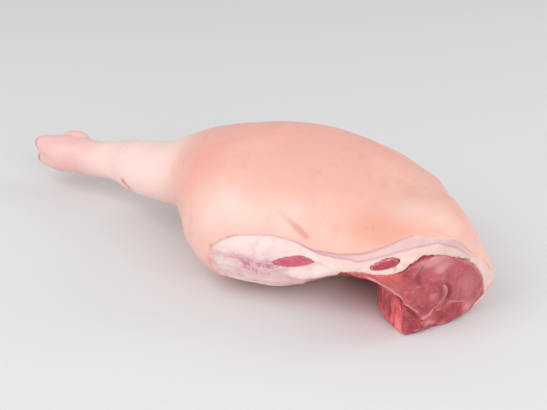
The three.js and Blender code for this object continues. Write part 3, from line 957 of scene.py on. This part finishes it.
def meat_grain(x, z, along, above, wedge, wall):
    """How far points lie across and along the fibres of their muscle, wedge or wall."""
    across, fibre = np.zeros(len(x)), np.zeros(len(x))
    nearest = np.full(len(x), FAR_AWAY)
    for (centre_a, centre_h, radius_a, radius_h), turn in zip(MUSCLES, MUSCLE_GRAIN):
        da, dh = along - centre_a, z - centre_h
        reach = np.hypot(da / radius_a, dh / radius_h)
        here = reach < nearest
        nearest = np.where(here, reach, nearest)
        across = np.where(here, dh * math.cos(turn) - da * math.sin(turn), across)
        fibre = np.where(here, da * math.cos(turn) + dh * math.sin(turn), fibre)
    da, dh = along - SWIRL[0], z - SWIRL[1]
    in_swirl = np.hypot(da, dh) < SWIRL_RADIUS
    across = np.where(in_swirl, np.hypot(da, dh), across)
    fibre = np.where(in_swirl, SWIRL_PITCH * np.arctan2(dh, da), fibre)
    across = np.where(wedge > 0.5, 0.79 * above, across)
    across = np.where(wall > 0.5, 0.9 * x + 0.2 * z, across)
    fibre = np.where(wedge > 0.5, x - 0.6 * z, np.where(wall > 0.5, z, fibre))
    return across, fibre


def flat_path(u, v, path, wide):
    """A soft line along a path in a plane."""
    return stripe(path_distance(u, v, 0.0, [(*p, 0) for p in path]), wide)


def flat_patches(u, v, patches):
    """The summed tones of soft patches in a plane."""
    return sum(tone * np.exp(-((u - a) / ra) ** 2 - ((v - b) / rb) ** 2)
               for a, b, ra, rb, tone in patches)


def meat_lines(x, z, along, face, wall):
    """How dark the seams are and how pale the sinews, and how far they sink and rise."""
    seams, dents, sinews, rises = np.zeros((4, len(x)))
    for path, wide, deep in SEAMS:
        line = flat_path(along, z, path, wide) * face
        seams = np.maximum(seams, line * min(deep, DARKEST_SEAM) / DARKEST_SEAM)
        dents = np.maximum(dents, deep * line)
    for path, wide, deep in WALL_CREASES:
        line = flat_path(x, z, path, wide) * wall
        seams = np.maximum(seams, 0.8 * line)
        dents = np.maximum(dents, deep * line)
    for path, wide, high in SINEWS:
        line = flat_path(along, z, path, wide) * face
        sinews = np.maximum(sinews, line * min(high, 1))
        rises = np.maximum(rises, high * line)
    return seams, sinews, rises - dents


def border_masks(x, y, z, points, along, face):
    """What shows at the lean's borders: its two spots in the fat, its edge and a film of fat."""
    rim_gap = -read_field(form_field, low, points)
    fat_gap = read_field(skin_field, low, points)
    first, second = [egg_field(x, y, z, centre, radii, tilt, turn)
                     for centre, radii, turn, tilt in LEAN_SPOTS]
    return dict(
        spot=1 - smoothstep(1, 4, first),
        outline=stripe(first, 1.3) * smoothstep(72, 80, z),
        second=1 - smoothstep(1, 4, second),
        cover=(1 - smoothstep(1.5, 4.0, rim_gap)) * face * smoothstep(70, 100, along),
        edge=1 - smoothstep(0.6, 2.4, fat_gap),
    )


def shape_lean():
    """Fine relief of the lean meat, and the masks that colour it."""
    points, normals = points_of(lean)
    x, y, z = points.T
    along, outward = butt_place(x, y)
    above = z - RIDGE_RISE(x)
    face = smoothstep(-5, -2, outward)
    near_side = (1 - face) * smoothstep(-62, -76, y) * smoothstep(140, 160, x)
    wedge = smoothstep(-1.5, 0.5, above) * near_side
    wall = (1 - smoothstep(-1.5, 0.5, above)) * near_side
    # Pale fascia along the ridge, with a painted highlight on its edge.
    lip = stripe(above - 0.8, 2.0) * near_side * smoothstep(185, 200, x)
    cheek = smoothstep(-7, 5, along + 0.35 * (z - 66) + 4 * cloud(x, y, z, 16, 2))
    across, fibre = meat_grain(x, z, along, above, wedge, wall)
    seams, sinews, lines = meat_lines(x, z, along, face, wall)
    dark_streak = 0.8 * stripe(path_distance(x, y, z, WEDGE_STREAK), 4.5) * wedge
    flat = np.zeros(len(x))
    fibres = NOISE(across / 2.6, fibre / 16, flat) + 0.5 * NOISE(across / 1.3, fibre / 9, flat + 5)
    height = fibres * (0.14 * face + 0.35 * wedge + 0.5 * wall) + 0.7 * cloud(x, y, z, 14, 2)
    height += lines + lip - dark_streak
    points = points + normals * height[:, None]
    move_points(lean, points)
    # The tone patches carry the painted highlights of the butt face and of the lump's wall too.
    tone = flat_patches(along, z, FACE_PATCHES) * face + flat_patches(x, z, WALL_PATCHES) * wall
    paint(
        lean,
        cheek=np.where(above > 0, cheek, face),
        wall=wall,
        tone=np.clip(tone, -1, 1),
        seam=np.clip(seams + dark_streak, 0, 1),
        sheen=np.clip(sinews, 0, 1),
        lip=lip,
        salmon=np.clip(lump_at(x, y, z, *SALMON_PATCH) + sinews * (along > 75), 0, 1),
        pale=lump_at(x, y, z, *PALE_PATCH),
        dark=smoothstep(0.1, 0.5, cloud(x * 1.4, y * 1.4, z * 0.6, 17, 2)) * wall,
        across=across,
        fibre=fibre,
        **border_masks(x, y, z, points, along, face),
    )


shape_skin()
shape_lean()


def srgb(red, green, blue):
    """A colour given as 8-bit screen values, as the shader takes it."""
    parts = [v / 255 for v in (red, green, blue)]
    return tuple(v / 12.92 if v <= 0.04045 else ((v + 0.055) / 1.055) ** 2.4 for v in parts)


class Painter:
    """Adds linked nodes to one material."""

    def __init__(self, name):
        self.material = bpy.data.materials.new(name)
        self.material.use_nodes = True
        self.tree = self.material.node_tree
        self.shader = self.tree.nodes["Principled BSDF"]

    def feed(self, socket, value):
        if isinstance(value, bpy.types.NodeSocket):
            self.tree.links.new(value, socket)
        elif isinstance(value, tuple) and socket.type == "RGBA":
            socket.default_value = (*value, 1)
        else:
            socket.default_value = value

    def node(self, kind, settings=None, **inputs):
        made = self.tree.nodes.new(kind)
        for key, value in (settings or {}).items():
            setattr(made, key, value)
        for key, value in inputs.items():
            self.feed(made.inputs[key.replace("_", " ")], value)
        return made

    def mask(self, name):
        made = self.node("ShaderNodeAttribute", {"attribute_name": name})
        return made.outputs["Fac"]

    def place(self):
        return self.node("ShaderNodeTexCoord").outputs["Object"]

    def noise(self, scale, detail=3.0, vector=None):
        made = self.node("ShaderNodeTexNoise", Vector=vector or self.place(), Scale=scale,
                         Detail=detail, Roughness=0.55)
        return made.outputs["Fac"]

    def pits(self, scale):
        made = self.node("ShaderNodeTexVoronoi", Vector=self.place(), Scale=scale)
        return made.outputs["Distance"]

    def spread(self, value, low, high, to_low=0.0, to_high=1.0):
        made = self.node("ShaderNodeMapRange", {"interpolation_type": "SMOOTHSTEP"})
        for key, part in zip(("Value", "From Min", "From Max", "To Min", "To Max"),
                             (value, low, high, to_low, to_high)):
            self.feed(made.inputs[key], part)
        return made.outputs["Result"]

    def times(self, a, b):
        made = self.node("ShaderNodeMath", {"operation": "MULTIPLY"})
        for socket, part in zip(made.inputs, (a, b)):
            self.feed(socket, part)
        return made.outputs["Value"]

    def mix(self, a, b, share):
        made = self.node("ShaderNodeMix", {"data_type": "RGBA"})
        for socket, part in zip([made.inputs[i] for i in (0, 6, 7)], (share, a, b)):
            self.feed(socket, part)
        return made.outputs[2]

    def layer(self, color, over, name, share):
        return self.mix(color, over, self.times(self.mask(name), share))

    def layers(self, color, tints):
        for name, over, share in tints:
            color = self.layer(color, srgb(*over), name, share)
        return color

    def bump(self, height, strength, distance, normal=None):
        made = self.node("ShaderNodeBump", Height=height, Strength=strength, Distance=distance)
        if normal:
            self.feed(made.inputs["Normal"], normal)
        return made.outputs["Normal"]

    def finish(self, **inputs):
        for key, value in inputs.items():
            self.feed(self.shader.inputs[key.replace("_", " ")], value)
        return self.material


def skin_material():
    """Moist raw skin, its cut rind, and the white fat under it."""
    p = Painter("pork_skin_and_fat")
    broad, cloudy, fine = p.noise(9), p.noise(38), p.noise(260, 4)
    color = p.mix(srgb(237, 181, 167), srgb(243, 193, 180), p.spread(broad, 0.38, 0.62))
    color = p.mix(color, srgb(232, 168, 154), p.spread(cloudy, 0.5, 0.7, 0, 0.45))
    color = p.layers(color, SKIN_TINTS)
    color = p.mix(color, srgb(232, 176, 162), p.spread(fine, 0.55, 0.8, 0, 0.22))
    lobes, specks = p.noise(85, 4), p.noise(140, 4)
    fat = p.mix(srgb(248, 222, 217), srgb(238, 200, 196), p.spread(lobes, 0.45, 0.7, 0, 0.75))
    fat = p.mix(fat, srgb(250, 232, 220), p.spread(specks, 0.55, 0.7, 0, 0.5))
    clots = p.spread(p.noise(230, 4), 0.42, 0.58)
    fat = p.layer(fat, srgb(216, 150, 170), "bruise", 0.75)
    fat = p.layer(fat, srgb(192, 120, 150), "bruise", clots)
    color = p.mix(color, p.layers(fat, FAT_TINTS), p.mask("fat"))
    color = p.layers(color, RAW_TINTS)
    pores = p.bump(p.pits(420), 0.12, 0.0006)
    normal = p.bump(p.noise(160, 5), 0.25, 0.0012, pores)
    return p.finish(
        Base_Color=color,
        Roughness=p.spread(cloudy, 0.3, 0.7, 0.34, 0.48),
        Normal=normal,
        Subsurface_Weight=0.18,
        Subsurface_Radius=(1.0, 0.4, 0.25),
        Subsurface_Scale=0.006,
        Coat_Weight=0.15,
        Coat_Roughness=0.25,
    )


def lean_material():
    """Wet lean meat: cut muscle on the face, torn muscle on the lump."""
    p = Painter("pork_lean_meat")
    grain = p.node("ShaderNodeCombineXYZ", X=p.mask("across"),
                   Y=p.times(p.mask("fibre"), 0.16)).outputs["Vector"]
    threads = p.noise(0.5, 4, grain)
    coarse = p.noise(0.16, 3, grain)
    cloudy, fine = p.noise(55, 3), p.noise(210, 3)
    # The paler tones include painted highlights on the butt face and the lump's wall.
    lifted = p.spread(p.mask("tone"), 0.0, 1.0)
    sunk = p.spread(p.mask("tone"), 0.0, -1.0, 0, 0.85)
    face = p.mix(srgb(164, 46, 60), srgb(190, 76, 86), p.spread(cloudy, 0.38, 0.62))
    face = p.mix(p.mix(face, srgb(218, 140, 146), lifted), srgb(152, 26, 42), sunk)
    wedge = p.mix(srgb(172, 46, 58), srgb(208, 84, 86), p.spread(coarse, 0.4, 0.62))
    wedge = p.layers(wedge, WEDGE_TINTS)
    wall = p.mix(srgb(196, 52, 66), srgb(236, 92, 102), p.spread(coarse, 0.38, 0.62))
    wall = p.layer(wall, srgb(150, 40, 54), "dark", 0.3)
    wall = p.mix(p.mix(wall, srgb(255, 124, 128), lifted), srgb(148, 34, 48), sunk)
    color = p.mix(p.mix(wedge, face, p.mask("cheek")), wall, p.mask("wall"))
    spot = p.mix(srgb(206, 78, 108), srgb(228, 108, 134), p.spread(coarse, 0.35, 0.7))
    color = p.mix(color, spot, p.mask("spot"))
    color = p.layer(color, srgb(156, 58, 86), "outline", 0.7)
    color = p.mix(color, srgb(224, 146, 148), p.spread(threads, 0.52, 0.7, 0, 0.28))
    color = p.mix(color, srgb(146, 36, 50), p.spread(threads, 0.46, 0.3, 0, 0.28))
    color = p.mix(color, srgb(222, 150, 150), p.spread(fine, 0.54, 0.7, 0, 0.15))
    color = p.layers(color, MEAT_TINTS)
    normal = p.bump(threads, 0.35, 0.0014, p.bump(fine, 0.3, 0.0014))
    return p.finish(
        Base_Color=color,
        Roughness=p.spread(cloudy, 0.3, 0.7, 0.24, 0.42),
        Normal=normal,
        Subsurface_Weight=0.12,
        Subsurface_Radius=(1.0, 0.3, 0.25),
        Subsurface_Scale=0.004,
        Coat_Weight=0.4,
        Coat_Roughness=0.16,
    )


def floor_material():
    """A plain pale floor."""
    p = Painter("floor")
    return p.finish(Base_Color=srgb(222, 222, 223), Roughness=0.8)


skin.data.materials.append(skin_material())
lean.data.materials.append(lean_material())
for piece, node in ((skin, "skin_and_fat"), (lean, "lean_meat")):
    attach(piece, "root")
    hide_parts(node)

# Floor, camera and light.
bpy.ops.mesh.primitive_plane_add(size=FLOOR_SIZE)
floor = bpy.context.object
floor.data.materials.append(floor_material())

TARGET = Vector(SHIFT * MM) + Vector((0, 0, AIM_HEIGHT))
back = Vector((
    math.sin(AZIMUTH) * math.cos(ELEVATION),
    -math.cos(AZIMUTH) * math.cos(ELEVATION),
    math.sin(ELEVATION),
))
camera_data = bpy.data.cameras.new("camera")
camera_data.lens = LENS
camera_data.sensor_width = SENSOR
camera = bpy.data.objects.new("camera", camera_data)
camera.location = TARGET + back * DISTANCE
camera.rotation_euler = back.to_track_quat("Z", "Y").to_euler()
bpy.context.collection.objects.link(camera)
bpy.context.scene.camera = camera


def softbox(name, place, size, power):
    """A square area light aimed at the leg."""
    data = bpy.data.lights.new(name, "AREA")
    data.size = size
    data.energy = power
    lamp = bpy.data.objects.new(name, data)
    lamp.location = place
    lamp.rotation_euler = (Vector(place) - TARGET).to_track_quat("Z", "Y").to_euler()
    bpy.context.collection.objects.link(lamp)


for name, place, size, power in LIGHTS:
    softbox(name, place, size, power)
world = bpy.data.worlds.new("studio")
world.use_nodes = True
world.node_tree.nodes["Background"].inputs["Color"].default_value = (1, 1, 1, 1)
world.node_tree.nodes["Background"].inputs["Strength"].default_value = WORLD_STRENGTH
bpy.context.scene.world = world
bpy.context.scene.view_settings.view_transform = "Standard"
